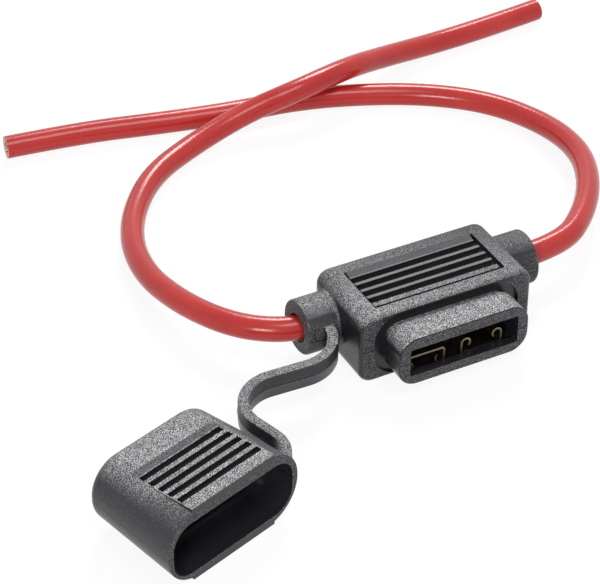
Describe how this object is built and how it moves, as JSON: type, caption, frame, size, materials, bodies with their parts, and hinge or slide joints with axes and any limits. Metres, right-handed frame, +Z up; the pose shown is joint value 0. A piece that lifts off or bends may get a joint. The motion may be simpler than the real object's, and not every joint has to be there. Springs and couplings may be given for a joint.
{
  "type": "inline fuse holder",
  "caption": "Inline holder for a blade fuse: ribbed housing with a fuse mouth, red leads out of both ends, and a tethered cap lying open beside it.",
  "frame": {"origin": "centre of the housing's underside, on the face it rests on", "axes": "+X along the housing from one lead's boot to the other, -Y out of the fuse mouth, +Z up"},
  "size_m": [0.1394, 0.1203, 0.0137],
  "materials": {
    "housing_rubber": "fine grained black",
    "wire_red": "glossy red insulation",
    "copper": "bare stranded copper",
    "terminal_brass": "stamped sheet brass"
  },
  "bodies": {
    "holder": {"holder_body": "housing_rubber", "terminal_left": "terminal_brass", "terminal_right": "terminal_brass", "left_lead": "wire_red", "right_lead": "wire_red", "left_conductor": "copper", "right_conductor": "copper"},
    "strap_first": {"strap_inner": "housing_rubber"},
    "strap_second": {"strap_outer": "housing_rubber"},
    "strap_end": {"strap_tab": "housing_rubber"},
    "cap_body": {"cap": "housing_rubber"}
  },
  "joints": [
    {"name": "strap_root_flex", "type": "hinge", "parent": "holder", "child": "strap_first", "pos_m": [-0.01986, -0.00569, 0.0064], "axis": [0, 0, 1], "range_deg": [0, 50.65]},
    {"name": "strap_mid_flex", "type": "hinge", "parent": "strap_first", "child": "strap_second", "pos_m": [-0.03804, -0.01075, 0.0064], "axis": [0, 0, 1], "range_deg": [0, 42.28]},
    {"name": "cap_flex", "type": "hinge", "parent": "strap_second", "child": "strap_end", "pos_m": [-0.03783, -0.02172, 0.0064], "axis": [0, 0, 1], "range_deg": [0, 68.47]},
    {"name": "cap_push", "type": "slide", "parent": "strap_end", "child": "cap_body", "axis": [0.319, -0.9478, 0], "range_m": [0, 0.0057]}
  ],
  "couplings": [
    {"joint": "strap_mid_flex", "follows": "strap_root_flex", "ratio": 0.83481},
    {"joint": "cap_flex", "follows": "strap_root_flex", "ratio": 1.352}
  ]
}
